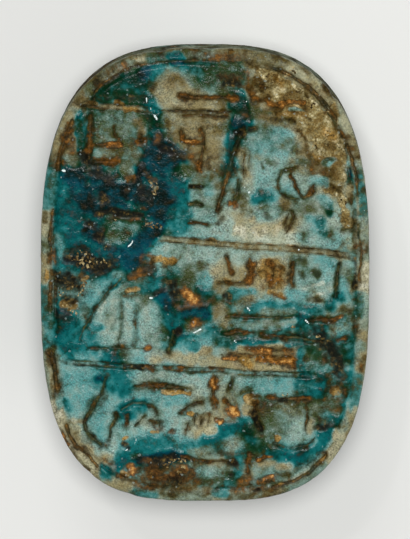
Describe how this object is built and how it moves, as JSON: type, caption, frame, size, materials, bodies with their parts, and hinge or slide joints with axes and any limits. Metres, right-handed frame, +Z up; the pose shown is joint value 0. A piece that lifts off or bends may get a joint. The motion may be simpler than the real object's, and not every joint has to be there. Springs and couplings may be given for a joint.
{
  "type": "scarab amulet",
  "caption": "Glazed faience scarab amulet, a beetle on a flat oval plinth pierced from end to end, lying on its back with its incised underside up.",
  "frame": {"origin": "centre of the overall box, on the ground under the worn flat of the wing cases", "axes": "+Z up, out of the incised underside; +Y along the length towards the beetle's head; +X across"},
  "size_m": [0.023, 0.032, 0.013],
  "materials": {
    "glazed_faience": "worn glaze, glossy where thick and matt and sandy where lost"
  },
  "bodies": {
    "root": {"scarab": "glazed_faience"}
  },
  "joints": []
}
